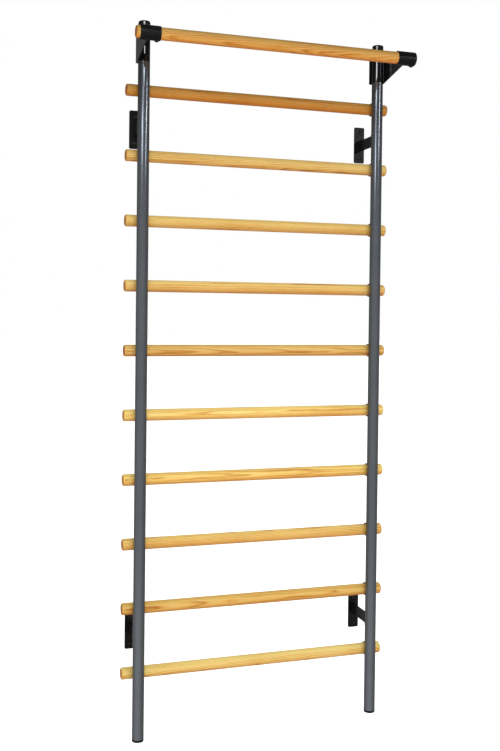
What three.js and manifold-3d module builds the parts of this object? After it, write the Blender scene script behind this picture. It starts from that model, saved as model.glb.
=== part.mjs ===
// Wall ladder with a pull-up bar: two steel uprights, ten wooden rungs behind them, and a
// wooden bar held out in front of the top by two brackets. Four arms tie it to the wall.
// Millimetres, +Z up. The front faces -Y and the wall stands at +Y.
// Inside the `ladder` group, Y = 0 is the plane of the uprights' axes and Z = 0 is the floor.

import * as THREE from 'three';
import { mergeVertices } from 'three/addons/utils/BufferGeometryUtils.js';
import Module from 'manifold-3d';

const wasm = await Module();
wasm.setup();

// ---- Driving dimensions ----

const HEIGHT = 2300;            // floor to the top of the top caps
const UPRIGHT_SPACING = 812.8;  // between the uprights' axes
const TUBE_OD = 38.1;
const TUBE_WALL = 2;
const GAP = 0.3;                // left between pieces that touch

const RUNG_COUNT = 10;
const RUNG_OD = 38.1;
const RUNG_LENGTH = 914.4;
const RUNG_PITCH = 209;
const LOWEST_RUNG_Z = 207.5;
const DOWEL_EDGE = 2.5;         // radius on the ends of the rungs and the bar

const RING_OD = 45;
const RING_LENGTH = 13;

const BAR_REACH = 175;          // pull-up bar's axis, in front of the uprights' axes
const BAR_Z = 2214;
const BAR_LENGTH = 920;
const BAR_SHIFT = 7;            // the bar stands further out of the left socket by this much

const SOCKET_OD = 44.5;
const SOCKET_LENGTH = 63;
const SOCKET_OFFSET = 17;       // middle of the socket, outboard of the upright's axis

const PLATE_THICKNESS = 4;      // bracket plate
const LEG_REACH = 21;           // inner end of the plate's rear leg, inboard of the upright's axis
const BRACKET_BASE_Z = 2171;    // where the upright ends and the bracket post begins
const BRACKET_TOP_Z = 2262;

const POST_BORE = 29.5;
const SPIGOT_LENGTH = 70;

const TOP_CAP_HEIGHT = 13;
const FOOT_CAP_HEIGHT = 7;
const PLUG_LENGTH = 16;

const WALL_REACH = 150;         // wall behind the uprights' axes
const WALL_PLATE = { width: 38.1, height: 127, thickness: 5, corner: 5 };
const WALL_HOLE = { diameter: 9, spacing: 90 };
const WALL_PLATE_CENTRES_Z = { lower: 311, upper: 1983 };
const ARM = { thickness: 5, height: 38.1 };
const ARM_CENTRES_Z = { lower: 315, upper: 1979 };
const SADDLE = { thickness: 3, halfAngle: (2 * Math.PI) / 9 };

const SOCKET_SCREW = { diameter: 8, headDiameter: 14, headHeight: 3.6, intoBar: 9, fromSocketEnd: 11.5 };
const SPIGOT_SCREW = { diameter: 6, headDiameter: 12, headHeight: 3.6, length: 8, below: 35 };
const SCREW_CLEARANCE = 0.3;    // radial, round each screw's shank

// ---- Worked out from them ----

const TUBE_R = TUBE_OD / 2;
const TUBE_BORE_R = TUBE_R - TUBE_WALL;
const RUNG_R = RUNG_OD / 2;
const RUNG_Y = TUBE_R + GAP + RUNG_R;
const SOCKET_R = SOCKET_OD / 2;
const SOCKET_BORE_R = RUNG_R + GAP;
const UPRIGHT_X = UPRIGHT_SPACING / 2;
const PLATE_INNER = TUBE_R + GAP;
const PLATE_OUTER = PLATE_INNER + PLATE_THICKNESS;
const SOCKET_X = UPRIGHT_X + SOCKET_OFFSET;
const SIDES = { left: -1, right: 1 };

const TUBE_SEGMENTS = 32;
const DOWEL_SEGMENTS = 24;
const HOLE_SEGMENTS = 16;

// ---- Materials ----

const paint = (color, roughness) => new THREE.MeshStandardMaterial({ color, roughness, metalness: 0.4 });
const GREY_PAINT = paint(0x5c6164, 0.35);
const BLACK_PAINT = paint(0x17181a, 0.45);
const OAK = new THREE.MeshStandardMaterial({ color: 0xd9a85c, roughness: 0.45, metalness: 0 });
const BLACK_PLASTIC = new THREE.MeshStandardMaterial({ color: 0x121314, roughness: 0.5, metalness: 0 });
const BLACK_STEEL = new THREE.MeshStandardMaterial({ color: 0x1d1e20, roughness: 0.35, metalness: 0.9 });

// ---- Shape helpers ----

// Turns a closed profile of [radius, height] pairs round the Z axis.
function turned(profile, segments) {
  const points = profile.map(([radius, height]) => new THREE.Vector2(radius, height));
  const geometry = new THREE.LatheGeometry(points, segments);
  return geometry.rotateX(Math.PI / 2);
}

// A quarter circle between two directions, as profile points, both ends included.
function arcPoints(centreRadius, centreHeight, radius, startAngle, endAngle, steps) {
  return Array.from({ length: steps + 1 }, (_, i) => {
    const angle = startAngle + ((endAngle - startAngle) * i) / steps;
    return [centreRadius + radius * Math.cos(angle), centreHeight + radius * Math.sin(angle)];
  });
}

function tube(outerR, innerR, length, segments) {
  const half = length / 2;
  const section = [[innerR, -half], [outerR, -half], [outerR, half], [innerR, half], [innerR, -half]];
  return turned(section, segments);
}

function rod(radius, length, segments) {
  const half = length / 2;
  return turned([[0, -half], [radius, -half], [radius, half], [0, half]], segments);
}

// A round bar with rounded edges at both ends, along Z, centred on the origin.
function dowel(radius, length, edge) {
  const half = length / 2;
  return turned([
    [0, -half],
    ...arcPoints(radius - edge, -half + edge, edge, -Math.PI / 2, 0, 2),
    ...arcPoints(radius - edge, half - edge, edge, 0, Math.PI / 2, 2),
    [0, half],
  ], DOWEL_SEGMENTS);
}

const alongX = (geometry) => geometry.rotateY(Math.PI / 2);
const alongY = (geometry) => geometry.rotateX(-Math.PI / 2);

function extruded(shape, depth, curveSegments = 8) {
  return new THREE.ExtrudeGeometry(shape, { depth, bevelEnabled: false, curveSegments });
}

function toSolid(geometry) {
  const bare = geometry.clone();
  bare.deleteAttribute('normal');
  bare.deleteAttribute('uv');
  const merged = mergeVertices(bare, 1e-4);
  const mesh = new wasm.Mesh({
    numProp: 3,
    vertProperties: new Float32Array(merged.attributes.position.array),
    triVerts: new Uint32Array(merged.index.array),
  });
  return new wasm.Manifold(mesh);
}

function fromSolid(solid) {
  const mesh = solid.getMesh();
  const geometry = new THREE.BufferGeometry();
  geometry.setAttribute('position', new THREE.BufferAttribute(mesh.vertProperties, 3));
  geometry.setIndex(new THREE.BufferAttribute(mesh.triVerts, 1));
  geometry.computeVertexNormals();
  return geometry;
}

// Cuts every tool out of the body.
function cut(body, tools) {
  const solid = tools.reduce((rest, tool) => rest.subtract(toSolid(tool)), toSolid(body));
  return fromSolid(solid);
}

function place(parent, name, geometry, material, [x, y, z]) {
  const mesh = new THREE.Mesh(geometry, material.clone());
  mesh.name = name;
  mesh.position.set(x, y, z);
  parent.add(mesh);
}

// ---- Uprights ----

// The tube runs from the foot cap to the bracket post. A screw enters it from behind, near the top.
function uprightGeometry() {
  const low = FOOT_CAP_HEIGHT + GAP;
  const high = BRACKET_BASE_Z - GAP;
  const body = tube(TUBE_R, TUBE_BORE_R, high - low, TUBE_SEGMENTS).translate(0, 0, (low + high) / 2);
  const hole = spigotScrewHole().translate(0, 0, BRACKET_BASE_Z - SPIGOT_SCREW.below);
  return cut(body, [hole]);
}

// A lip as wide as the tube, with a rounded outer edge, and a plug that goes into the tube.
function footCapGeometry() {
  const edge = 1.5;
  const plugR = TUBE_BORE_R - GAP;
  return turned([
    [0, 0],
    ...arcPoints(TUBE_R - edge, edge, edge, -Math.PI / 2, 0, 2),
    [TUBE_R, FOOT_CAP_HEIGHT],
    [plugR, FOOT_CAP_HEIGHT],
    [plugR, FOOT_CAP_HEIGHT + PLUG_LENGTH],
    [0, FOOT_CAP_HEIGHT + PLUG_LENGTH],
  ], TUBE_SEGMENTS);
}

// ---- Rungs ----

const rungZ = (index) => LOWEST_RUNG_Z + index * RUNG_PITCH;
const rungNumber = (index) => String(index + 1).padStart(2, '0');

// A collar round the rung, shaped at the front to sit against the back of the upright.
function rungRingGeometry() {
  const ring = alongX(tube(RING_OD / 2, RUNG_R + GAP, RING_LENGTH, DOWEL_SEGMENTS));
  const upright = rod(TUBE_R + GAP, 2 * RING_OD, TUBE_SEGMENTS).translate(0, -RUNG_Y, 0);
  return cut(ring, [upright]);
}

function addRungs(ladder) {
  const rung = alongX(dowel(RUNG_R, RUNG_LENGTH, DOWEL_EDGE));
  const ring = rungRingGeometry();
  for (let i = 0; i < RUNG_COUNT; i += 1) {
    place(ladder, `rung_${rungNumber(i)}`, rung, OAK, [0, RUNG_Y, rungZ(i)]);
    for (const [side, sign] of Object.entries(SIDES)) {
      const ringCentre = [sign * UPRIGHT_X, RUNG_Y, rungZ(i)];
      place(ladder, `rung_ring_${side}_${rungNumber(i)}`, ring, GREY_PAINT, ringCentre);
    }
  }
}

// ---- Pull-up bar and its brackets ----

const screwX = (sign) => sign * SOCKET_X + SOCKET_LENGTH / 2 - SOCKET_SCREW.fromSocketEnd;

function socketScrewHole() {
  return rod(SOCKET_SCREW.diameter / 2 + SCREW_CLEARANCE, SOCKET_R, HOLE_SEGMENTS);
}

// The bar has a blind hole from below for each socket screw.
function barGeometry() {
  const body = alongX(dowel(RUNG_R, BAR_LENGTH, DOWEL_EDGE));
  const holeTop = -RUNG_R + SOCKET_SCREW.intoBar + GAP;
  const holes = Object.values(SIDES).map((sign) => (
    socketScrewHole().translate(screwX(sign) + BAR_SHIFT, 0, holeTop - SOCKET_R / 2)
  ));
  return cut(body, holes);
}

function socketGeometry(sign) {
  const body = alongX(tube(SOCKET_R, SOCKET_BORE_R, SOCKET_LENGTH, TUBE_SEGMENTS));
  const hole = socketScrewHole().translate(screwX(sign) - sign * SOCKET_X, 0, -SOCKET_R);
  return cut(body, [hole]);
}

// Domed head below, shank pointing up. The origin is on the underside of the socket.
function socketScrewGeometry() {
  const shankR = SOCKET_SCREW.diameter / 2;
  const headR = SOCKET_SCREW.headDiameter / 2;
  const bottom = -GAP - SOCKET_SCREW.headHeight;
  const edge = 2.5;
  const tip = SOCKET_R - RUNG_R + SOCKET_SCREW.intoBar - GAP;
  return turned([
    [0, bottom],
    ...arcPoints(headR - edge, bottom + edge, edge, -Math.PI / 2, 0, 2),
    [headR, -GAP],
    [shankR, -GAP],
    [shankR, tip],
    [0, tip],
  ], HOLE_SEGMENTS);
}

// Seen from above, the plate lies along the upright's outer side and bends round behind it.
function bracketPlan(sign) {
  const innerBend = 1;
  const outerBend = innerBend + PLATE_THICKNESS;
  const plan = new THREE.Shape();
  plan.moveTo(sign * PLATE_INNER, -BAR_REACH);
  plan.lineTo(sign * PLATE_OUTER, -BAR_REACH);
  plan.lineTo(sign * PLATE_OUTER, PLATE_OUTER - outerBend);
  plan.quadraticCurveTo(sign * PLATE_OUTER, PLATE_OUTER, sign * (PLATE_OUTER - outerBend), PLATE_OUTER);
  plan.lineTo(-sign * LEG_REACH, PLATE_OUTER);
  plan.lineTo(-sign * LEG_REACH, PLATE_INNER);
  plan.lineTo(sign * (PLATE_INNER - innerBend), PLATE_INNER);
  plan.quadraticCurveTo(sign * PLATE_INNER, PLATE_INNER, sign * PLATE_INNER, PLATE_INNER - innerBend);
  plan.closePath();
  return extruded(plan, BRACKET_TOP_Z - BRACKET_BASE_Z, 4).translate(0, 0, BRACKET_BASE_Z);
}

// Seen from the side, the plate is deep at the upright and tapers to the socket.
function bracketSide() {
  const lowerEdgeRise = 0.2;
  const side = new THREE.Shape();
  side.moveTo(PLATE_OUTER + 1, BRACKET_BASE_Z);
  side.lineTo(0, BRACKET_BASE_Z);
  side.lineTo(-BAR_REACH, BRACKET_BASE_Z + lowerEdgeRise * BAR_REACH);
  side.lineTo(-BAR_REACH, BAR_Z + SOCKET_R);
  side.lineTo(-TUBE_R, BRACKET_TOP_Z);
  side.lineTo(PLATE_OUTER + 1, BRACKET_TOP_Z);
  side.closePath();
  const width = 4 * PLATE_OUTER;
  // The outline's own axes are Y and Z, so it is extruded along X.
  const turn = new THREE.Matrix4().makeBasis(
    new THREE.Vector3(0, 1, 0), new THREE.Vector3(0, 0, 1), new THREE.Vector3(1, 0, 0));
  return extruded(side, width).translate(0, 0, -width / 2).applyMatrix4(turn);
}

function bracketPlateGeometry(sign) {
  const plate = toSolid(bracketPlan(sign)).intersect(toSolid(bracketSide()));
  const socket = alongX(rod(SOCKET_R + GAP, 2 * SOCKET_LENGTH, TUBE_SEGMENTS))
    .translate(0, -BAR_REACH, BAR_Z);
  return fromSolid(plate.subtract(toSolid(socket)));
}

// A tube as wide as the upright, with a spigot that goes down into it.
function bracketPostGeometry() {
  const boreR = POST_BORE / 2;
  const spigotR = TUBE_BORE_R - GAP;
  const top = HEIGHT - TOP_CAP_HEIGHT - GAP;
  const body = turned([
    [boreR, BRACKET_BASE_Z - SPIGOT_LENGTH],
    [spigotR, BRACKET_BASE_Z - SPIGOT_LENGTH],
    [spigotR, BRACKET_BASE_Z],
    [TUBE_R, BRACKET_BASE_Z],
    [TUBE_R, top],
    [boreR, top],
    [boreR, BRACKET_BASE_Z - SPIGOT_LENGTH],
  ], TUBE_SEGMENTS);
  const hole = spigotScrewHole().translate(0, 0, BRACKET_BASE_Z - SPIGOT_SCREW.below);
  return cut(body, [hole]);
}

// A plug with a tall lip, well rounded at the top.
function topCapGeometry() {
  const edge = 5;
  const plugR = POST_BORE / 2 - GAP;
  const lip = HEIGHT - TOP_CAP_HEIGHT;
  return turned([
    [0, lip - PLUG_LENGTH],
    [plugR, lip - PLUG_LENGTH],
    [plugR, lip],
    [TUBE_R, lip],
    ...arcPoints(TUBE_R - edge, HEIGHT - edge, edge, 0, Math.PI / 2, 3),
    [0, HEIGHT],
  ], TUBE_SEGMENTS);
}

function spigotScrewHole() {
  const holeR = SPIGOT_SCREW.diameter / 2 + SCREW_CLEARANCE;
  return alongY(rod(holeR, TUBE_R, HOLE_SEGMENTS)).translate(0, TUBE_R, 0);
}

// A round head behind the upright, with its shank pointing forward through both walls.
function spigotScrewGeometry() {
  const shankR = SPIGOT_SCREW.diameter / 2;
  const headR = SPIGOT_SCREW.headDiameter / 2;
  const edge = 1.5;
  const seat = TUBE_R + GAP;
  return alongY(turned([
    [0, seat - SPIGOT_SCREW.length],
    [shankR, seat - SPIGOT_SCREW.length],
    [shankR, seat],
    [headR, seat],
    ...arcPoints(headR - edge, seat + SPIGOT_SCREW.headHeight - edge, edge, 0, Math.PI / 2, 2),
    [0, seat + SPIGOT_SCREW.headHeight],
  ], HOLE_SEGMENTS));
}

function addBracket(ladder, side, sign) {
  const x = sign * UPRIGHT_X;
  const barCentre = [sign * SOCKET_X, -BAR_REACH, BAR_Z];
  place(ladder, `bracket_post_${side}`, bracketPostGeometry(), BLACK_PAINT, [x, 0, 0]);
  place(ladder, `bracket_plate_${side}`, bracketPlateGeometry(sign), BLACK_PAINT, [x, 0, 0]);
  place(ladder, `bar_socket_${side}`, socketGeometry(sign), BLACK_PAINT, barCentre);
  place(ladder, `socket_screw_${side}`, socketScrewGeometry(), BLACK_STEEL,
    [screwX(sign), -BAR_REACH, BAR_Z - SOCKET_R]);
  place(ladder, `spigot_screw_${side}`, spigotScrewGeometry(), BLACK_STEEL,
    [x, 0, BRACKET_BASE_Z - SPIGOT_SCREW.below]);
  place(ladder, `top_cap_${side}`, topCapGeometry(), BLACK_PLASTIC, [x, 0, 0]);
}

// ---- Wall brackets ----

// A flat plate with rounded corners and a screw hole near each end. Its back is at Y = 0.
function wallPlateGeometry() {
  const { width, height, thickness, corner } = WALL_PLATE;
  const [w, h] = [width / 2, height / 2];
  const plate = new THREE.Shape();
  plate.moveTo(-w + corner, -h);
  plate.lineTo(w - corner, -h);
  plate.absarc(w - corner, -h + corner, corner, -Math.PI / 2, 0);
  plate.absarc(w - corner, h - corner, corner, 0, Math.PI / 2);
  plate.absarc(-w + corner, h - corner, corner, Math.PI / 2, Math.PI);
  plate.absarc(-w + corner, -h + corner, corner, Math.PI, 1.5 * Math.PI);
  for (const end of [-1, 1]) {
    const hole = new THREE.Path();
    hole.absarc(0, (end * WALL_HOLE.spacing) / 2, WALL_HOLE.diameter / 2, 0, 2 * Math.PI, true);
    plate.holes.push(hole);
  }
  return extruded(plate, thickness, 6).rotateX(Math.PI / 2);
}

// Seen from above: a saddle curved round the back of the upright, and a flat bar from it to the wall plate.
function wallArmGeometry() {
  const inner = TUBE_R + GAP;
  const outer = inner + SADDLE.thickness;
  const half = ARM.thickness / 2;
  const barEnd = WALL_REACH - WALL_PLATE.thickness - GAP;
  const rear = Math.PI / 2;
  const flank = Math.asin(half / outer);
  const arm = new THREE.Shape();
  arm.absarc(0, 0, inner, rear + SADDLE.halfAngle, rear - SADDLE.halfAngle, true);
  arm.absarc(0, 0, outer, rear - SADDLE.halfAngle, rear - flank);
  arm.lineTo(half, barEnd);
  arm.lineTo(-half, barEnd);
  arm.absarc(0, 0, outer, rear + flank, rear + SADDLE.halfAngle);
  arm.closePath();
  return extruded(arm, ARM.height, 10).translate(0, 0, -ARM.height / 2);
}

function addWallBrackets(ladder, side, sign) {
  const x = sign * UPRIGHT_X;
  for (const level of ['lower', 'upper']) {
    const plateCentre = [x, WALL_REACH, WALL_PLATE_CENTRES_Z[level]];
    place(ladder, `wall_plate_${level}_${side}`, wallPlateGeometry(), BLACK_PAINT, plateCentre);
    const armCentre = [x, 0, ARM_CENTRES_Z[level]];
    place(ladder, `wall_arm_${level}_${side}`, wallArmGeometry(), BLACK_PAINT, armCentre);
  }
}

// ---- The whole ladder ----

const ladder = new THREE.Group();
addRungs(ladder);
place(ladder, 'pull_up_bar', barGeometry(), OAK, [-BAR_SHIFT, -BAR_REACH, BAR_Z]);
for (const [side, sign] of Object.entries(SIDES)) {
  place(ladder, `upright_${side}`, uprightGeometry(), GREY_PAINT, [sign * UPRIGHT_X, 0, 0]);
  place(ladder, `foot_cap_${side}`, footCapGeometry(), BLACK_PLASTIC, [sign * UPRIGHT_X, 0, 0]);
  addBracket(ladder, side, sign);
  addWallBrackets(ladder, side, sign);
}

// The origin is on the floor, midway between the wall and the front of the sockets, and midway
// between the bar's left end and the rungs' right ends.
ladder.position.x = (BAR_LENGTH / 2 + BAR_SHIFT - RUNG_LENGTH / 2) / 2;
ladder.position.y = (BAR_REACH + SOCKET_R - WALL_REACH) / 2;

const part = new THREE.Group();
part.add(ladder);

export default part;
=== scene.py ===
"""Looks of the wall ladder with a pull-up bar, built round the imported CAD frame.

Metres, +Z up. The front of the ladder faces -Y and the wall stands at +Y. Places and most sizes come
from the CAD nodes, through the frame, and the other sizes are named here.
"""

import math
import random

import bmesh
import bpy
from mathutils import Matrix, Vector


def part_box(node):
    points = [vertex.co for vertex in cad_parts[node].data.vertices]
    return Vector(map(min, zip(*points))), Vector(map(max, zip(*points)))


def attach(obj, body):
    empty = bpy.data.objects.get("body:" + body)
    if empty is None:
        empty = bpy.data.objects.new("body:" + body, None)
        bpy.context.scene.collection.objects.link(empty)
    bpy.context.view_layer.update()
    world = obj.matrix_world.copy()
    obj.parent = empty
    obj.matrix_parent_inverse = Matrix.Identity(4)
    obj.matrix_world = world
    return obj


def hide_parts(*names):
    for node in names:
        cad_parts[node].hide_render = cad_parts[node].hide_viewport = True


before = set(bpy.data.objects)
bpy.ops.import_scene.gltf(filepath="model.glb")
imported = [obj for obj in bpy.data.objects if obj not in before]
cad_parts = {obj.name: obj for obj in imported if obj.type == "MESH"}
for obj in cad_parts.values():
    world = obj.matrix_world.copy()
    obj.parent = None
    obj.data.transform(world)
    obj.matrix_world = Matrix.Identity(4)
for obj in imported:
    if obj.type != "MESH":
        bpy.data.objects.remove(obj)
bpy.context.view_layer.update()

MM = 0.001
SIDES = ("left", "right")
SIGN = {"left": -1, "right": 1}
GAP = 0.3 * MM                       # left between pieces that touch


# ---- Measures taken from the frame ----

def centre(node):
    low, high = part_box(node)
    return (low + high) / 2


def size(node):
    low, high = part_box(node)
    return high - low


RUNGS = sorted(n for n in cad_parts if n.startswith("rung_") and "ring" not in n)
TUBE_R = size("upright_left").x / 2
UPRIGHT_Y = centre("upright_left").y
RUNG_R = size(RUNGS[0]).z / 2
RUNG_Y = centre(RUNGS[0]).y
RUNG_LENGTH = size(RUNGS[0]).x
BAR = centre("pull_up_bar")
BAR_LENGTH = size("pull_up_bar").x
SOCKET_R = size("bar_socket_left").z / 2
SOCKET_LENGTH = size("bar_socket_left").x
BRACKET_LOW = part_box("bracket_plate_left")[0].z
BRACKET_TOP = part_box("bracket_plate_left")[1].z
WALL_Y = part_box("wall_plate_lower_left")[1].y


# ---- Building meshes ----

def filleted(corners, closed=True, steps=5):
    """The outline through corners (x, y) or (x, y, fillet radius), with its fillets drawn as arcs."""
    count = len(corners)
    points = []
    for i, corner in enumerate(corners):
        here = Vector(corner[:2])
        radius = corner[2] if len(corner) > 2 else 0
        at_end = not closed and i in (0, count - 1)
        if radius == 0 or at_end:
            points.append(here)
            continue
        before = (Vector(corners[i - 1][:2]) - here).normalized()
        after = (Vector(corners[(i + 1) % count][:2]) - here).normalized()
        half = before.angle(after) / 2
        middle = here + (before + after).normalized() * (radius / math.sin(half))
        start = here + before * (radius / math.tan(half)) - middle
        end = here + after * (radius / math.tan(half)) - middle
        turn = start.angle_signed(end)
        for k in range(steps + 1):
            a = -turn * k / steps
            spun = Vector((start.x * math.cos(a) - start.y * math.sin(a),
                           start.x * math.sin(a) + start.y * math.cos(a)))
            points.append(middle + spun)
    return [(p.x, p.y) for p in points]


def grid_faces(rows, columns, wrap_rows=False, wrap_columns=True):
    faces = []
    for i in range(rows if wrap_rows else rows - 1):
        for j in range(columns if wrap_columns else columns - 1):
            a, b = i, (i + 1) % rows
            c, d = j, (j + 1) % columns
            faces.append((a * columns + c, a * columns + d, b * columns + d, b * columns + c))
    return faces


def new_bmesh(verts, faces):
    mesh = bmesh.new()
    made = [mesh.verts.new(v) for v in verts]
    for face in faces:
        mesh.faces.new([made[i] for i in face])
    bmesh.ops.remove_doubles(mesh, verts=mesh.verts, dist=1e-7)
    bmesh.ops.recalc_face_normals(mesh, faces=mesh.faces)
    return mesh


def turned(profile, segments=96, closed=False, radius_at=None):
    """Turns a profile of (radius, height) round Z. An open profile starts and ends on the axis.
    radius_at(radius, angle) may change the radius round the turn."""
    shape = radius_at or (lambda radius, angle: radius)
    verts = []
    for radius, height in profile:
        for k in range(segments):
            angle = 2 * math.pi * k / segments
            r = shape(radius, angle)
            verts.append((r * math.cos(angle), r * math.sin(angle), height))
    return new_bmesh(verts, grid_faces(len(profile), segments, wrap_rows=closed))


def arc(radius, start, end, steps, middle=(0, 0)):
    """Points along an arc round middle, with both its ends."""
    angles = [start + (end - start) * k / steps for k in range(steps + 1)]
    return [(middle[0] + radius * math.cos(a), middle[1] + radius * math.sin(a)) for a in angles]


def plate(outline, thickness, edge, holes=()):
    """A flat plate from z 0 to z thickness, with its edges rounded over. Holes are (x, y, radius)."""
    mesh = bmesh.new()
    loops = [outline]
    for x, y, radius in holes:
        loops.append(arc(radius, 0, 2 * math.pi, 40, (x, y))[:-1])
    edges = []
    for loop in loops:
        verts = [mesh.verts.new((x, y, 0)) for x, y in loop]
        edges += [mesh.edges.new((verts[i - 1], verts[i])) for i in range(len(verts))]
    if holes:
        bmesh.ops.triangle_fill(mesh, use_beauty=True, edges=edges, normal=(0, 0, 1))
    else:
        mesh.faces.new(list(mesh.verts))
    grown = bmesh.ops.extrude_face_region(mesh, geom=list(mesh.faces))
    lifted = [g for g in grown["geom"] if isinstance(g, bmesh.types.BMVert)]
    bmesh.ops.translate(mesh, vec=(0, 0, thickness), verts=lifted)
    bmesh.ops.recalc_face_normals(mesh, faces=mesh.faces)
    round_over(mesh, edge)
    return mesh


def round_over(mesh, edge):
    """Rounds the edges where faces meet at more than 50 degrees."""
    sharp = [e for e in mesh.edges if len(e.link_faces) == 2 and e.calc_face_angle(0) > math.radians(50)]
    bmesh.ops.bevel(mesh, geom=sharp, offset=edge, segments=3, profile=0.5, affect="EDGES",
                    clamp_overlap=True)


def piece(name, mesh, material, stands_for=(), place=Matrix()):
    """Finishes a bmesh as a piece of the ladder, turned by place."""
    mesh.transform(place)
    data = bpy.data.meshes.new(name)
    mesh.to_mesh(data)
    mesh.free()
    data.shade_smooth()
    data.set_sharp_from_angle(angle=math.radians(40))
    data.materials.append(material)
    made = bpy.data.objects.new(name, data)
    bpy.context.scene.collection.objects.link(made)
    weighted = made.modifiers.new("weighted_normals", "WEIGHTED_NORMAL")
    weighted.weight = 90
    weighted.keep_sharp = True
    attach(made, "root")
    if stands_for:
        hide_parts(*stands_for)
    return made


def put(made, where):
    """Moves a piece to its place. It keeps riding on the same body."""
    made.location = where


ALONG_X = Matrix.Rotation(math.pi / 2, 4, "Y")
ALONG_Y = Matrix.Rotation(-math.pi / 2, 4, "X")
ALONG_MINUS_Y = Matrix.Rotation(math.pi / 2, 4, "X")
ALONG_MINUS_Z = Matrix.Rotation(math.pi, 4, "X")


# ---- Shader nodes ----

class Tree:
    """Short calls for wiring a node tree."""

    def __init__(self, owner):
        owner.use_nodes = True
        self.tree = owner.node_tree
        self.tree.nodes.clear()

    def add(self, kind, *inputs, **settings):
        """Adds a node. inputs go to its sockets in order, and a dict gives sockets by name."""
        node = self.tree.nodes.new(kind)
        for key, value in settings.items():
            setattr(node, key, value)
        pairs = []
        for i, value in enumerate(inputs):
            if isinstance(value, dict):
                pairs += value.items()
            elif value is not None:
                pairs.append((i, value))
        for key, value in pairs:
            if isinstance(value, bpy.types.NodeSocket):
                self.tree.links.new(value, node.inputs[key])
            else:
                node.inputs[key].default_value = value
        return node

    def math(self, operation, *inputs):
        return self.add("ShaderNodeMath", *inputs, operation=operation).outputs[0]

    def vector(self, operation, *inputs):
        return self.add("ShaderNodeVectorMath", *inputs, operation=operation).outputs[0]

    def noise(self, vector, scale, detail, roughness=0.5):
        node = self.add("ShaderNodeTexNoise", {"Vector": vector, "Scale": scale, "Detail": detail,
                                               "Roughness": roughness})
        return node.outputs["Fac"]

    def ramp(self, factor, *stops):
        """Colours or grey values against a factor. A stop is (position, value)."""
        node = self.add("ShaderNodeValToRGB", factor)
        bar = node.color_ramp
        while len(bar.elements) < len(stops):
            bar.elements.new(1.0)
        for element, (position, value) in zip(bar.elements, stops):
            element.position = position
            element.color = (*value, 1) if isinstance(value, tuple) else (value, value, value, 1)
        return node.outputs["Color"]

    def between(self, factor, low, high):
        """A number from low to high as factor goes from 0 to 1."""
        return self.add("ShaderNodeMapRange", {"Value": factor, "To Min": low, "To Max": high}).outputs[0]

    def mix(self, factor, first, second, blend="MIX"):
        node = self.add("ShaderNodeMix", data_type="RGBA", blend_type=blend)
        for key, value in ((0, factor), (6, first), (7, second)):
            if isinstance(value, bpy.types.NodeSocket):
                self.tree.links.new(value, node.inputs[key])
            elif isinstance(value, tuple):
                node.inputs[key].default_value = (*value, 1)
            else:
                node.inputs[key].default_value = value
        return node.outputs[2]

    def bump(self, height, strength, distance):
        node = self.add("ShaderNodeBump", {"Height": height, "Strength": strength, "Distance": distance})
        return node.outputs[0]

    def surface(self, **sockets):
        named = {key.replace("_", " "): value for key, value in sockets.items()}
        shader = self.add("ShaderNodeBsdfPrincipled", named)
        self.add("ShaderNodeOutputMaterial", shader.outputs[0])


def material(name):
    """A new material, its node tree, and the piece's own coordinates for its textures."""
    made = bpy.data.materials.new(name)
    tree = Tree(made)
    place = tree.add("ShaderNodeTexCoord").outputs["Object"]
    return made, tree, place


# ---- Paint, plastic and steel ----

GREY = (0.122, 0.139, 0.155)
GREY_DEEP = (0.108, 0.124, 0.140)
FLAKE = (0.21, 0.22, 0.24)
BLACK = (0.0035, 0.0036, 0.0040)
BLACK_WORN = (0.007, 0.0072, 0.008)


def upright_paint():
    """Gunmetal gloss paint: a grey with fine metal flake, slight orange peel and faint handling marks."""
    made, tree, place = material("gunmetal_paint")
    cloud = tree.noise(place, 9, detail=4)
    flake = tree.noise(place, 2600, detail=1)
    tone = tree.mix(tree.ramp(cloud, (0.35, 0.0), (0.65, 1.0)), GREY_DEEP, GREY)
    tone = tree.mix(tree.ramp(flake, (0.62, 0.0), (0.78, 0.5)), tone, FLAKE)
    along = tree.vector("MULTIPLY", place, (1, 1, 0.08))
    rubbed = tree.ramp(tree.noise(along, 160, detail=3), (0.5, 0.0), (0.75, 1.0))
    peel = tree.noise(place, 500, detail=2)
    roughness = tree.between(rubbed, 0.14, 0.20)
    tree.surface(Base_Color=tone, Metallic=0.70, Roughness=roughness, Normal=tree.bump(peel, 0.02, 0.0002))
    return made


def black_paint(name, gloss, low, high):
    """Black paint with cloudy worn patches. gloss scales its shine, and its roughness runs from low to
    high."""
    made, tree, place = material(name)
    cloud = tree.noise(place, 35, detail=5)
    tone = tree.mix(tree.ramp(cloud, (0.4, 0.0), (0.7, 1.0)), BLACK, BLACK_WORN)
    peel = tree.noise(place, 900, detail=2)
    fine = tree.noise(place, 3200, detail=1)
    height = tree.math("ADD", peel, tree.math("MULTIPLY", fine, 0.35))
    roughness = tree.between(tree.noise(place, 60, detail=3), low, high)
    tree.surface(Base_Color=tone, Roughness=roughness, Specular_IOR_Level=gloss,
                 Normal=tree.bump(height, 0.02, 0.0002))
    return made


def cap_plastic(name, gloss):
    """Black moulded plastic with a fine spark-eroded grain. gloss scales its shine."""
    made, tree, place = material(name)
    grain = tree.add("ShaderNodeTexVoronoi", {"Vector": place, "Scale": 1500.0}).outputs["Distance"]
    cloud = tree.noise(place, 120, detail=3)
    tone = tree.mix(cloud, (0.0045, 0.0045, 0.005), (0.009, 0.009, 0.010))
    roughness = tree.between(cloud, 0.12, 0.18)
    tree.surface(Base_Color=tone, Roughness=roughness, Specular_IOR_Level=gloss,
                 Normal=tree.bump(grain, 0.08, 0.0002))
    return made


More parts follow.
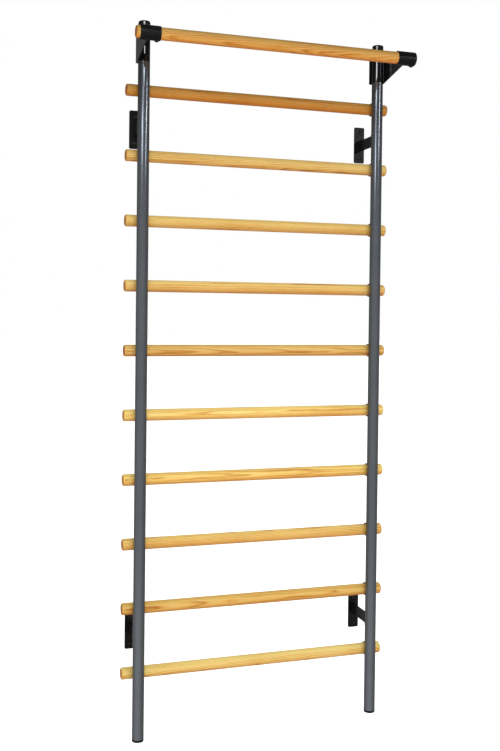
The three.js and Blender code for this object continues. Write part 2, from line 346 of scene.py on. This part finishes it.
def screw_steel():
    """Black oxide steel, worn to bright metal in specks."""
    made, tree, place = material("black_oxide_steel")
    specks = tree.ramp(tree.noise(place, 900, detail=3), (0.60, 0.0), (0.72, 1.0))
    tone = tree.mix(specks, (0.030, 0.031, 0.034), (0.10, 0.098, 0.095))
    marks = tree.noise(tree.vector("MULTIPLY", place, (1, 1, 6)), 500, detail=2)
    roughness = tree.between(marks, 0.28, 0.45)
    tree.surface(Base_Color=tone, Metallic=0.9, Roughness=roughness, Normal=tree.bump(marks, 0.1, 0.0002))
    return made


# ---- Oak ----

OAK_EARLY = (0.580, 0.265, 0.045)     # the open-pored wood that starts each year's ring
OAK_MIDDLE = (0.900, 0.630, 0.160)
OAK_LATE = (0.980, 0.800, 0.270)      # the dense wood that ends it
OAK_PORE = (0.200, 0.085, 0.024)
END_GRAIN = (0.82, 0.58, 0.38)        # how much darker the cut ends take the varnish
END_GRAIN_PORE = (0.66, 0.44, 0.26)


def oak(name, seed, tone, half_length, top_shade):
    """Varnished oak with its grain along X. The growth rings are shells round a pith that lies outside
    the dowel and leans a little, so that they run out along it as streaks and arches. Its last argument
    paints shade on it: darker over the top and lighter underneath, as if the light came from below."""
    chance = random.Random(seed)
    made, tree, place = material(name)
    swing = chance.uniform(0, 2 * math.pi)
    pith_distance = chance.uniform(0.045, 0.10)
    lean = chance.choice((-1, 1)) * chance.uniform(0.008, 0.022)
    shift = chance.uniform(-40, 40)
    ring_width = chance.uniform(0.0030, 0.0042)
    moved = tree.vector("ADD", place, (shift, 0.31 * shift, 0))

    def stretched(along, round_about):
        return tree.vector("MULTIPLY", moved, (along, round_about, round_about))

    x, y, z = tree.add("ShaderNodeSeparateXYZ", place).outputs
    slow = tree.noise(stretched(1, 3), 3.0, detail=2)
    wander = tree.math("MULTIPLY", tree.math("SUBTRACT", slow, 0.5), 0.016)
    sway = tree.math("ADD", tree.math("MULTIPLY", x, lean), wander)
    across = tree.math("ADD", tree.math("ADD", y, pith_distance * math.cos(swing)), sway)
    up = tree.math("ADD", tree.math("ADD", z, pith_distance * math.sin(swing)), sway)
    reach = tree.math("SQRT", tree.math("ADD", tree.math("MULTIPLY", across, across),
                                        tree.math("MULTIPLY", up, up)))
    uneven = tree.math("MULTIPLY", tree.noise(stretched(0.6, 12), 8, detail=3), 0.004)
    ring = tree.math("FRACT", tree.math("DIVIDE", tree.math("ADD", reach, uneven), ring_width))

    year = tree.ramp(ring, (0.0, 0.55), (0.10, 0.15), (0.34, 0.55), (0.70, 1.0), (0.93, 0.9), (1.0, 0.55))
    streak = tree.noise(stretched(1.6, 95), 1.0, detail=3, roughness=0.6)
    fibre = tree.noise(stretched(14, 900), 1.0, detail=3, roughness=0.65)
    drift = tree.noise(stretched(4.5, 9), 1.0, detail=2)
    pores = tree.noise(stretched(95, 2600), 1.0, detail=1)

    light = tree.math("ADD", tree.math("MULTIPLY", year, 0.62), tree.math("MULTIPLY", streak, 0.72))
    light = tree.math("ADD", light, tree.math("MULTIPLY", tree.math("SUBTRACT", fibre, 0.5), 0.45))
    light = tree.math("ADD", light, tree.math("MULTIPLY", tree.math("SUBTRACT", drift, 0.5), 0.55))
    wood = tree.ramp(light, (0.34, OAK_EARLY), (0.66, OAK_MIDDLE), (0.98, OAK_LATE))
    in_early = tree.ramp(ring, (0.0, 1.0), (0.22, 0.9), (0.4, 0.12), (0.95, 0.1), (1.0, 1.0))
    open_pore = tree.math("MULTIPLY", tree.ramp(pores, (0.60, 0.0), (0.70, 1.0)), in_early)
    wood = tree.mix(tree.math("MULTIPLY", open_pore, 0.55), wood, OAK_PORE)
    wood = tree.mix(1.0, wood, tone, "MULTIPLY")
    # Painted shade: the top darkens and the bottom lightens, as if the light came from below.
    if top_shade:
        over = tree.add("ShaderNodeMapRange", {"Value": z, "From Min": -RUNG_R, "From Max": RUNG_R,
                                               "To Min": 1 + 0.2 * top_shade, "To Max": 1 - 0.45 * top_shade})
        wood = tree.mix(1.0, wood, over.outputs[0], "MULTIPLY")

    from_end = tree.math("SUBTRACT", half_length, tree.math("ABSOLUTE", x))
    cut = tree.ramp(tree.math("MULTIPLY", from_end, 100.0), (0.0, 1.0), (0.08, 0.9), (0.30, 0.0))
    speckle = tree.noise(place, 1800, detail=2)
    end_tone = tree.mix(tree.ramp(speckle, (0.4, 0.0), (0.6, 1.0)), END_GRAIN_PORE, END_GRAIN)
    wood = tree.mix(cut, wood, tree.mix(1.0, wood, end_tone, "MULTIPLY"))

    height = tree.math("SUBTRACT", tree.math("MULTIPLY", fibre, 0.5), open_pore)
    roughness = tree.between(fibre, 0.34, 0.50)
    tree.surface(Base_Color=wood, Roughness=roughness, Specular_IOR_Level=0.25, Coat_Weight=0.05,
                 Coat_Roughness=0.3, Normal=tree.bump(height, 0.25, 0.00025))
    return made


# ---- Rungs, the rings that hold them, and the pull-up bar ----

DOWEL_EDGE = 5.5 * MM
# How red and dark each rung is, from the bottom one up.
RUNG_TONES = (
    (1.00, 1.02, 1.04),
    (0.89, 0.79, 0.68),
    (0.94, 0.86, 0.80),
    (1.02, 0.98, 0.90),
    (1.06, 1.08, 1.08),
    (0.84, 0.76, 0.74),
    (0.88, 0.82, 0.80),
    (0.86, 0.84, 0.82),
    (0.84, 0.82, 0.82),
    (0.63, 0.43, 0.24),
)
RUNG_TOP_SHADE = {8: 0.25, 9: 0.8}      # painted shade over the tops of the two top rungs
RUNG_SEEDS = (14, 12, 13, 11, 15, 17, 16, 18, 19, 20)
BAR_TONE = (0.72, 0.57, 0.42)


def dowel(length):
    half = length / 2
    profile = filleted([(0, -half), (RUNG_R, -half, DOWEL_EDGE), (RUNG_R, half, DOWEL_EDGE), (0, half)],
                       closed=False, steps=6)
    return turned(profile)


def ring(node):
    """A collar round the rung. Its front is ground away to sit on the back of the upright, which leaves
    two thin lips there. Cut across, it is a rounded oblong, swept round the rung's axis."""
    half = size(node).x / 2
    outer = size(node).z / 2
    inner = RUNG_R + GAP
    reach = RUNG_Y - UPRIGHT_Y
    lip = math.radians(12)
    section = filleted([(-half, inner, 0.4 * MM), (half, inner, 0.4 * MM), (half, outer, 0.8 * MM),
                        (-half, outer, 0.8 * MM)], steps=4)
    turns = 120
    verts = []
    for i in range(turns + 1):
        angle = lip + (2 * math.pi - 2 * lip) * i / turns
        for x, radius in section:
            limit = radius
            if math.cos(angle) > 0:
                upright_back = reach - math.sqrt((TUBE_R + GAP / 2) ** 2 - x * x)
                limit = min(radius, upright_back / math.cos(angle))
            r = max(limit, min(radius, inner + 0.05 * MM))
            verts.append((x, -r * math.cos(angle), r * math.sin(angle)))
    count = len(section)
    faces = grid_faces(turns + 1, count)
    faces.append(tuple(range(count)))
    faces.append(tuple(range(turns * count, (turns + 1) * count)))
    return new_bmesh(verts, faces)


def bead(points, radius, seed, closed=False):
    """A weld bead along points: a half-sunk round cord with the ripples of its passes."""
    sides = 10
    chance = random.Random(seed)
    path = resampled([Vector(p) for p in points], radius * 0.35, closed)
    count = len(path)
    verts = []
    for i, here in enumerate(path):
        if closed:
            ahead, behind = path[(i + 1) % count], path[i - 1]
            taper = 1
        else:
            ahead, behind = path[min(i + 1, count - 1)], path[max(i - 1, 0)]
            taper = min(1, 0.35 + 0.3 * i, 0.35 + 0.3 * (count - 1 - i))
        along = (ahead - behind).normalized()
        side = along.orthogonal().normalized() if i == 0 else (side - along * side.dot(along)).normalized()
        upward = along.cross(side)
        ripple = 1 + 0.10 * math.sin(1.5 * i) + chance.uniform(-0.03, 0.03)
        for k in range(sides):
            a = 2 * math.pi * k / sides
            spoke = side * math.cos(a) + upward * math.sin(a)
            verts.append(here + spoke * radius * ripple * taper)
    faces = grid_faces(count, sides, wrap_rows=closed)
    if not closed:
        faces.append(tuple(range(sides)))
        faces.append(tuple(range((count - 1) * sides, count * sides)))
    return new_bmesh(verts, faces)


def resampled(points, step, closed):
    """Points at an even step along a line."""
    line = points + points[:1] if closed else points
    lengths = [0.0]
    for a, b in zip(line, line[1:]):
        lengths.append(lengths[-1] + (b - a).length)
    count = max(4, round(lengths[-1] / step))
    found = []
    k = 0
    for i in range(count if closed else count + 1):
        wanted = lengths[-1] * i / count
        while k < len(lengths) - 2 and lengths[k + 1] < wanted:
            k += 1
        share = (wanted - lengths[k]) / max(lengths[k + 1] - lengths[k], 1e-12)
        found.append(line[k].lerp(line[k + 1], share))
    return found


def ring_weld_line(node):
    """Where the collar meets the upright: two curves across the ring's top and bottom, joined at its ends."""
    half = size(node).x / 2
    outer = size(node).z / 2
    reach = RUNG_Y - UPRIGHT_Y
    line = []
    for sense in (1, -1):
        for i in range(21):
            x = sense * half * (2 * i / 20 - 1)
            back = reach - math.sqrt(TUBE_R ** 2 - x * x)
            line.append((x, -back, sense * math.sqrt(outer ** 2 - back ** 2)))
    return line


def button_head(radius, height, drive):
    """A domed screw head on Z, seat at z 0, with a hexagon socket drive that wide across its flats."""
    deep = height * 0.55
    socket = drive * 0.5
    profile = filleted([(0, 0), (radius, 0), (radius, height * 0.25),
                        (radius * 0.82, height * 0.75, radius * 0.3), (drive * 0.72, height)],
                       closed=False, steps=4)
    profile += [(socket, height - 0.15 * MM), (socket, height - deep), (0, height - deep * 1.15)]

    def hexagon(r, angle):
        if r != socket:
            return r
        return r / math.cos((angle + math.pi / 6) % (math.pi / 3) - math.pi / 6)

    return turned(profile, segments=60, radius_at=hexagon)


def build_rungs(paint, steel):
    for i, node in enumerate(RUNGS):
        number = node.split("_")[1]
        place = centre(node)
        wood = oak(f"oak_{number}", RUNG_SEEDS[i], RUNG_TONES[i], RUNG_LENGTH / 2, RUNG_TOP_SHADE.get(i, 0))
        made = piece(f"oak_rung_{number}", dowel(RUNG_LENGTH), wood, [node], ALONG_X)
        put(made, place)
        for side in SIDES:
            ring_node = f"rung_ring_{side}_{number}"
            where = centre(ring_node)
            where.y = RUNG_Y
            collar = piece(f"collar_{side}_{number}", ring(ring_node), paint, [ring_node])
            put(collar, where)
            weld = bead(ring_weld_line(ring_node), 0.9 * MM, 100 * i + len(side), closed=True)
            put(piece(f"collar_weld_{side}_{number}", weld, paint), where)
            outer = size(ring_node).z / 2
            head = button_head(3.6 * MM, 2.2 * MM, 2.6 * MM)
            screw = piece(f"collar_screw_{side}_{number}", head, steel, place=ALONG_Y)
            put(screw, where + Vector((0, outer - 0.1 * MM, 0)))


def build_bar(paint, steel):
    # The bar takes the full painted shade: darker over its top, lighter underneath.
    wood = oak("oak_bar", 5, BAR_TONE, BAR_LENGTH / 2, 1.0)
    bar = piece("oak_pull_up_bar", dowel(BAR_LENGTH), wood, ["pull_up_bar"], ALONG_X)
    put(bar, BAR)
    for side in SIDES:
        node = f"bar_socket_{side}"
        half = SOCKET_LENGTH / 2
        profile = filleted([(RUNG_R + GAP, -half, 0.6 * MM), (SOCKET_R, -half, 1.0 * MM),
                            (SOCKET_R, half, 1.0 * MM), (RUNG_R + GAP, half, 0.6 * MM)], steps=4)
        sleeve = turned(profile, closed=True)
        where = Vector((centre(node).x, BAR.y, BAR.z))
        put(piece(f"socket_{side}", sleeve, paint, [node], ALONG_X), where)
        screw_node = f"socket_screw_{side}"
        spot = centre(screw_node)
        head = button_head(size(screw_node).y / 2, 3.6 * MM, 5 * MM)
        screw = piece(f"socket_screw_head_{side}", head, steel, [screw_node], ALONG_MINUS_Z)
        put(screw, Vector((spot.x, spot.y, BAR.z - SOCKET_R - GAP)))


# ---- Uprights, posts and caps ----

TUBE_BORE_R = TUBE_R - 2 * MM
POST_BORE_R = 29.5 * MM / 2
TOP_CAP_LIP = 13 * MM                # stands on the post
FOOT_CAP_LIP = 7 * MM                # the upright stands on it


def upright_tube(node):
    low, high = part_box(node)
    profile = filleted([(TUBE_BORE_R, low.z, 0.3 * MM), (TUBE_R, low.z, 0.5 * MM),
                        (TUBE_R, high.z, 0.5 * MM), (TUBE_BORE_R, high.z, 0.3 * MM)], steps=3)
    return turned(profile, segments=128, closed=True)


def bracket_post(node):
    """A tube as wide as the upright, with a spigot that goes down into it."""
    low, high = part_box(node)
    spigot = TUBE_BORE_R - GAP
    profile = filleted([(POST_BORE_R, low.z), (spigot, low.z, 1.0 * MM), (spigot, BRACKET_LOW),
                        (TUBE_R, BRACKET_LOW, 0.5 * MM), (TUBE_R, high.z, 0.5 * MM), (POST_BORE_R, high.z)],
                       steps=3)
    return turned(profile, segments=128, closed=True)


def top_cap(node):
    """A plug with a tall lip, well rounded at the top."""
    low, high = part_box(node)
    lip = high.z - TOP_CAP_LIP
    plug = POST_BORE_R - GAP
    profile = filleted([(0, low.z), (plug, low.z, 0.8 * MM), (plug, lip), (TUBE_R, lip, 0.4 * MM),
                        (TUBE_R, high.z - 0.4 * MM, 5 * MM), (0, high.z)], closed=False, steps=8)
    return turned(profile)


def foot_cap(node):
    """A lip with a shallow hollow below, and a plug that goes up into the upright."""
    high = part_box(node)[1]
    plug = TUBE_BORE_R - GAP
    hollow = 0.6 * MM
    profile = filleted([(0, hollow), (TUBE_R * 0.6, hollow), (TUBE_R * 0.66, 0), (TUBE_R, 0, 1.5 * MM),
                        (TUBE_R, FOOT_CAP_LIP, 0.4 * MM), (plug, FOOT_CAP_LIP), (plug, high.z, 0.8 * MM),
                        (0, high.z)], closed=False, steps=5)
    return turned(profile)


def build_uprights(paint, black, top_plastic, foot_plastic, steel):
    stack = (("steel_upright", "upright", upright_tube, paint, "upright_paint"),
             ("post", "bracket_post", bracket_post, black, "bracket_paint"),
             ("cap", "top_cap", top_cap, top_plastic, "cap_plastic"),
             ("foot", "foot_cap", foot_cap, foot_plastic, "cap_plastic"))
    for side in SIDES:
        x = centre(f"upright_{side}").x
        for name, stands_for, shape, look, slot in stack:
            node = f"{stands_for}_{side}"
            put(piece(f"{name}_{side}", shape(node), look, [node]), Vector((x, UPRIGHT_Y, 0)))
        screw = f"spigot_screw_{side}"
        head = button_head(size(screw).x / 2, 3.6 * MM, 4 * MM)
        put(piece(f"post_screw_{side}", head, steel, [screw], ALONG_Y),
            Vector((x, UPRIGHT_Y + TUBE_R + GAP, centre(screw).z)))


# ---- Bracket plates ----

PLATE_T = 4 * MM
LOWER_EDGE_RISE = 0.2                # for each step forward
LEG_REACH = 21 * MM                  # inboard of the upright's axis
BEND_R = PLATE_T / 2 + 1 * MM        # of the plate's middle layer


def bracket_edge(y):
    """The plate's lower and upper edge at a place y in front of the upright's axis."""
    reach = UPRIGHT_Y - BAR.y - TUBE_R
    low = BRACKET_LOW + LOWER_EDGE_RISE * max(0.0, -y)
    top = BRACKET_TOP + (BAR.z + SOCKET_R - BRACKET_TOP) * max(0.0, -y - TUBE_R) / reach
    return low, top


def bracket_front(share):
    """How far forward the plate goes at a share of its depth, where the socket stops it."""
    socket_y = BAR.y - UPRIGHT_Y
    near, far = -TUBE_R, socket_y
    for _ in range(40):
        y = (near + far) / 2
        low, top = bracket_edge(y)
        z = low + share * (top - low)
        if math.hypot(y - socket_y, z - BAR.z) > SOCKET_R + GAP:
            near = y
        else:
            far = y
    return near


def bracket_path(sign, middle):
    """Plan points of the plate's middle layer behind its straight run, with their outward directions."""
    points = []
    for k in range(1, 9):
        a = math.pi / 2 * k / 8
        out_x, out_y = math.cos(a), math.sin(a)
        points.append((sign * (middle - BEND_R + BEND_R * out_x), middle - BEND_R + BEND_R * out_y,
                       sign * out_x, out_y))
    for k in range(1, 13):
        x = (middle - BEND_R) - (LEG_REACH + middle - BEND_R) * k / 12
        points.append((sign * x, middle, 0, 1))
    return points


def bracket_plate(sign):
    """A gusset along the upright's outer side that tapers to the socket, bent round behind the upright as
    a short leg. It is two layers of a grid, joined round their rim."""
    middle = TUBE_R + GAP + PLATE_T / 2
    rows, ahead_columns = 25, 45
    straight_end = middle - BEND_R
    layers = []
    for offset in (PLATE_T / 2, -PLATE_T / 2):
        for i in range(rows):
            share = i / (rows - 1)
            front = bracket_front(share)
            for k in range(ahead_columns):
                y = front + (straight_end - front) * k / (ahead_columns - 1)
                low, top = bracket_edge(y)
                layers.append((sign * (middle + offset), y, low + share * (top - low)))
            for x, y, out_x, out_y in bracket_path(sign, middle):
                z = BRACKET_LOW + share * (BRACKET_TOP - BRACKET_LOW)
                layers.append((x + out_x * offset, y + out_y * offset, z))
    columns = len(layers) // (2 * rows)
    faces = grid_faces(rows, columns, wrap_columns=False)
    second = rows * columns
    faces += [tuple(second + i for i in face) for face in faces]
    rim = list(range(columns))
    rim += [i * columns + columns - 1 for i in range(1, rows)]
    rim += [(rows - 1) * columns + k for k in reversed(range(columns - 1))]
    rim += [i * columns for i in reversed(range(1, rows - 1))]
    for a, b in zip(rim, rim[1:] + rim[:1]):
        faces.append((a, b, second + b, second + a))
    mesh = new_bmesh(layers, faces)
    round_over(mesh, 0.5 * MM)
    return mesh


def build_brackets(paint):
    for side in SIDES:
        sign = SIGN[side]
        node = f"bracket_plate_{side}"
        axis = Vector((centre(f"upright_{side}").x, UPRIGHT_Y, 0))
        put(piece(f"gusset_{side}", bracket_plate(sign), paint, [node]), axis)
        inner, outer = TUBE_R + GAP, TUBE_R + GAP + PLATE_T
        for layer, x in (("inner", inner), ("outer", outer)):
            line = []
            for i in range(17):
                share = 0.04 + 0.92 * i / 16
                y = bracket_front(share)
                low, top = bracket_edge(y)
                line.append((sign * x, y - 0.2 * MM, low + share * (top - low)))
            weld = bead(line, 1.5 * MM, 31 + len(layer))
            put(piece(f"socket_weld_{layer}_{side}", weld, paint), axis)
        groove = 2.0 * MM
        beside = inner - groove
        ahead = -math.sqrt((TUBE_R + groove) ** 2 - beside ** 2)
        line = [(sign * beside, ahead, BRACKET_LOW + 6 * MM), (sign * beside, ahead, BRACKET_TOP - 6 * MM)]
        put(piece(f"gusset_weld_{side}", bead(line, 1.9 * MM, 47), paint), axis)


# ---- Wall arms and wall plates ----

ARM_T = 5 * MM
SADDLE_R = TUBE_R + GAP + 3 * MM     # the saddle's outer face
SADDLE_HALF_ANGLE = math.radians(40)
SADDLE_SCREW_ANGLE = math.radians(24)
FLANGE_CORNER = 5 * MM
FLANGE_HOLE_R = 4.5 * MM
FLANGE_HOLE_PLACE = 45 * MM          # above and below the middle of the wall plate


def arm_outline(far):
    """Seen from above: a saddle behind the upright and a flat bar from it to the wall plate."""
    rear = math.pi / 2
    flank = math.asin(ARM_T / 2 / SADDLE_R)
    outline = arc(TUBE_R + GAP, rear + SADDLE_HALF_ANGLE, rear - SADDLE_HALF_ANGLE, 40)
    outline += arc(SADDLE_R, rear - SADDLE_HALF_ANGLE, rear - flank, 20)
    outline += [(ARM_T / 2, far), (-ARM_T / 2, far)]
    outline += arc(SADDLE_R, rear + flank, rear + SADDLE_HALF_ANGLE, 20)
    return outline


def build_arm(which, axis, paint):
    node = f"wall_arm_{which}"
    low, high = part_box(node)
    arm = plate(arm_outline(high.y - UPRIGHT_Y), high.z - low.z, 0.6 * MM)
    put(piece(f"arm_{which}", arm, paint, [node]), axis + Vector((0, 0, low.z)))


def build_flange(which, paint, steel):
    """The wall plate and the heads of its two screws."""
    node = f"wall_plate_{which}"
    spot = centre(node)
    wide, thick, tall = size(node)
    outline = filleted([(-wide / 2, -tall / 2, FLANGE_CORNER), (wide / 2, -tall / 2, FLANGE_CORNER),
                        (wide / 2, tall / 2, FLANGE_CORNER), (-wide / 2, tall / 2, FLANGE_CORNER)], steps=8)
    holes = [(0, end * FLANGE_HOLE_PLACE, FLANGE_HOLE_R) for end in (-1, 1)]
    flat = plate(outline, thick, 0.6 * MM, holes)
    put(piece(f"flange_{which}", flat, paint, [node], ALONG_MINUS_Y),
        Vector((spot.x, WALL_Y, spot.z)))
    for end in (-1, 1):
        head = button_head(6.5 * MM, 3 * MM, 4 * MM)
        screw = piece(f"wall_screw_{which}_{end + 1}", head, steel, place=ALONG_MINUS_Y)
        put(screw, Vector((spot.x, WALL_Y - thick, spot.z + end * FLANGE_HOLE_PLACE)))


def join_arm(which, axis, paint, steel):
    """The weld beads between arm and wall plate, and the heads of the screws through the saddle."""
    low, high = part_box(f"wall_arm_{which}")
    middle = axis + Vector((0, 0, (low.z + high.z) / 2))
    far = high.y - UPRIGHT_Y - 0.6 * MM
    half = (high.z - low.z) / 2 - 2 * MM
    for flank in (-1, 1):
        beside = flank * (ARM_T / 2 + 0.5 * MM)
        weld = bead([(beside, far, -half), (beside, far, half)], 1.9 * MM, 60 + flank)
        put(piece(f"flange_weld_{which}_{flank + 1}", weld, paint), middle)
        turn = flank * SADDLE_SCREW_ANGLE
        head = button_head(4 * MM, 2.4 * MM, 3 * MM)
        aim = Matrix.Rotation(-turn, 4, "Z") @ ALONG_Y
        screw = piece(f"saddle_screw_{which}_{flank + 1}", head, steel, place=aim)
        outward = Vector((math.sin(turn), math.cos(turn), 0))
        put(screw, middle + outward * (SADDLE_R - 0.1 * MM))


def build_wall_brackets(paint, steel):
    for side in SIDES:
        axis = Vector((centre(f"upright_{side}").x, UPRIGHT_Y, 0))
        for level in ("lower", "upper"):
            which = f"{level}_{side}"
            build_arm(which, axis, paint)
            build_flange(which, paint, steel)
            join_arm(which, axis, paint, steel)


# ---- Studio: floor, light and camera ----

CAMERA_PLACE = Vector((-0.9865, -2.9571, 1.3778))
CAMERA_YAW = 0.30795          # turned from +Y towards +X
CAMERA_PITCH = -0.01528
CAMERA_ROLL = 0.01114
CAMERA_LENS = 45.33
CAMERA_SHIFT_Y = -0.0640


def build_camera():
    data = bpy.data.cameras.new("camera")
    data.lens = CAMERA_LENS
    data.shift_y = CAMERA_SHIFT_Y
    camera = bpy.data.objects.new("camera", data)
    bpy.context.scene.collection.objects.link(camera)
    level = Vector((math.sin(CAMERA_YAW), math.cos(CAMERA_YAW), 0))
    side = Vector((math.cos(CAMERA_YAW), -math.sin(CAMERA_YAW), 0))
    forward = level * math.cos(CAMERA_PITCH) + Vector((0, 0, math.sin(CAMERA_PITCH)))
    over = side.cross(forward)
    right = side * math.cos(CAMERA_ROLL) + over * math.sin(CAMERA_ROLL)
    over = over * math.cos(CAMERA_ROLL) - side * math.sin(CAMERA_ROLL)
    turn = Matrix((right, over, -forward)).transposed()
    camera.matrix_world = Matrix.Translation(CAMERA_PLACE) @ turn.to_4x4()
    bpy.context.scene.camera = camera


def build_floor():
    """A large pale floor, bright enough to fade into the backdrop."""
    made = bpy.data.materials.new("pale_floor")
    tree = Tree(made)
    shader = tree.add("ShaderNodeBsdfPrincipled", {"Base Color": (0.9, 0.9, 0.9, 1), "Roughness": 0.9,
                                                   "Emission Color": (1, 1, 1, 1), "Emission Strength": 0.85})
    tree.add("ShaderNodeOutputMaterial", shader.outputs[0])
    reach = 40
    mesh = bpy.data.meshes.new("floor")
    mesh.from_pydata([(-reach, -reach, 0), (reach, -reach, 0), (reach, reach, 0), (-reach, reach, 0)], [],
                     [(0, 1, 2, 3)])
    mesh.materials.append(made)
    floor = bpy.data.objects.new("floor", mesh)
    bpy.context.scene.collection.objects.link(floor)
    floor.location.z = -0.5 * MM
    floor.visible_glossy = False
    floor.visible_diffuse = False


def softbox(name, start, end, wide, target, radiance, lights, tint=(1, 1, 1)):
    """A long light of even radiance. Its middle line runs from start to end, and it faces target. It
    either shapes the diffuse light or shows in glossy surfaces."""
    start, end = Vector(start), Vector(end)
    middle = (start + end) / 2
    along = (end - start).normalized()
    back = (middle - Vector(target)).normalized()
    across = back.cross(along).normalized()
    data = bpy.data.lights.new(name, "AREA")
    data.shape = "RECTANGLE"
    data.color = tint
    data.size = (end - start).length
    data.size_y = wide
    data.energy = radiance * math.pi * data.size * wide
    light = bpy.data.objects.new(name, data)
    bpy.context.scene.collection.objects.link(light)
    turn = Matrix((along, across, along.cross(across))).transposed()
    light.matrix_world = Matrix.Translation(middle) @ turn.to_4x4()
    light.visible_camera = False
    light.visible_glossy = lights == "glossy"
    light.visible_diffuse = lights == "diffuse"


COOL = (0.90, 0.94, 1.0)


def build_lights():
    middle = (0, 0, 1.2)
    top = (0, 0, 2.1)
    softbox("head", (-0.60, -1.10, 2.425), (-0.60, -1.10, 2.85), 0.62, top, 8.5, "glossy", COOL)
    softbox("head_left", (-0.70, -1.15, 2.33), (-0.70, -1.15, 2.425), 1.1, (-1.5, -0.55, 2.38), 5,
            "glossy", COOL)
    softbox("near", (-2.0, -1.7, 2.38), (-1.2, -2.3, 2.38), 0.26, top, 8.5, "glossy", COOL)
    softbox("side", (1.33, -1.24, 2.56), (1.33, -2.40, 2.33), 0.15, top, 18, "glossy", COOL)
    softbox("front", (-2.4, -3.4, 1.5), (1.4, -3.4, 1.5), 2.0, middle, 2.75, "diffuse")
    softbox("front_top", (-2.2, -3.2, 4.2), (1.6, -3.2, 4.2), 2.2, middle, 1.3, "diffuse")
    softbox("rear_top", (-0.9, 3.4, 3.8), (2.1, 3.4, 3.8), 2.0, middle, 1.2, "diffuse")


BELOW = (0.47, 0.17, 0.11)           # diffuse light from the ground
ABOVE = (0.50, 0.50, 0.50)           # diffuse light from the sky
REAR = (0.14, 0.14, 0.14)            # least reflection from behind the ladder
GLOW = (1.35, 1.35, 1.35)            # strengthens the floor's reflection in front


def paint_world():
    """White behind the object. Its diffuse light is white from above and warm from below. Its reflections
    are pale below, glow where the floor lies in front, fade out above the horizon, and are strongest from
    the front and the left."""
    world = bpy.data.worlds.new("studio")
    bpy.context.scene.world = world
    tree = Tree(world)
    way = tree.add("ShaderNodeSeparateXYZ", tree.add("ShaderNodeTexCoord").outputs["Generated"]).outputs
    height = tree.math("MULTIPLY_ADD", way[2], 0.5, 0.5)
    level = tree.ramp(height, (0.0, 0.95), (0.30, 0.95), (0.40, 0.85), (0.50, 0.80), (0.533, 0.75),
                      (0.565, 0.60), (0.598, 0.50), (0.608, 0.12), (0.625, 0.04), (0.88, 0.04), (0.95, 0.3))
    facing = tree.math("MULTIPLY_ADD", way[1], -0.433, tree.math("MULTIPLY_ADD", way[0], -0.25, 0.5))
    round_about = tree.ramp(facing, (0.0, 0.30), (0.27, 0.45), (0.47, 0.55), (0.60, 0.68), (0.75, 0.86),
                            (1.0, 1.0))
    reflected = tree.mix(1.0, level, round_about, "MULTIPLY")
    near_floor = tree.ramp(height, (0.22, 0.0), (0.29, 1.0), (0.345, 1.0), (0.37, 0.0))
    floor_glow = tree.math("MULTIPLY", near_floor, tree.ramp(facing, (0.70, 0.0), (0.95, 1.0)))
    reflected = tree.mix(floor_glow, reflected, GLOW, "MULTIPLY")
    reflected = tree.mix(tree.ramp(facing, (0.15, 1.0), (0.40, 0.0)), reflected, REAR, "LIGHTEN")
    lit = tree.ramp(height, (0.40, BELOW), (0.60, ABOVE))
    path = tree.add("ShaderNodeLightPath").outputs
    colour = tree.mix(path["Is Glossy Ray"], lit, reflected)
    colour = tree.mix(path["Is Camera Ray"], colour, (1.0, 1.0, 1.0))
    background = tree.add("ShaderNodeBackground", {"Color": colour, "Strength": 1.0})
    tree.add("ShaderNodeOutputWorld", background.outputs[0])


def main():
    build_camera()
    grey, steel = upright_paint(), screw_steel()
    top_plastic = cap_plastic("moulded_plastic", 1.0)
    foot_plastic = cap_plastic("worn_plastic", 0.08)
    mirror = black_paint("black_post_paint", 1.0, 0.06, 0.10)
    black = black_paint("black_gloss_paint", 0.70, 0.13, 0.20)
    satin = black_paint("black_satin_paint", 0.15, 0.33, 0.38)
    dull = black_paint("black_dull_paint", 0.18, 0.30, 0.42)
    build_uprights(grey, mirror, top_plastic, foot_plastic, steel)
    build_rungs(grey, steel)
    build_bar(satin, steel)
    build_brackets(black)
    build_wall_brackets(dull, steel)
    build_floor()
    build_lights()
    paint_world()
    bpy.context.scene.view_settings.view_transform = "Standard"


main()
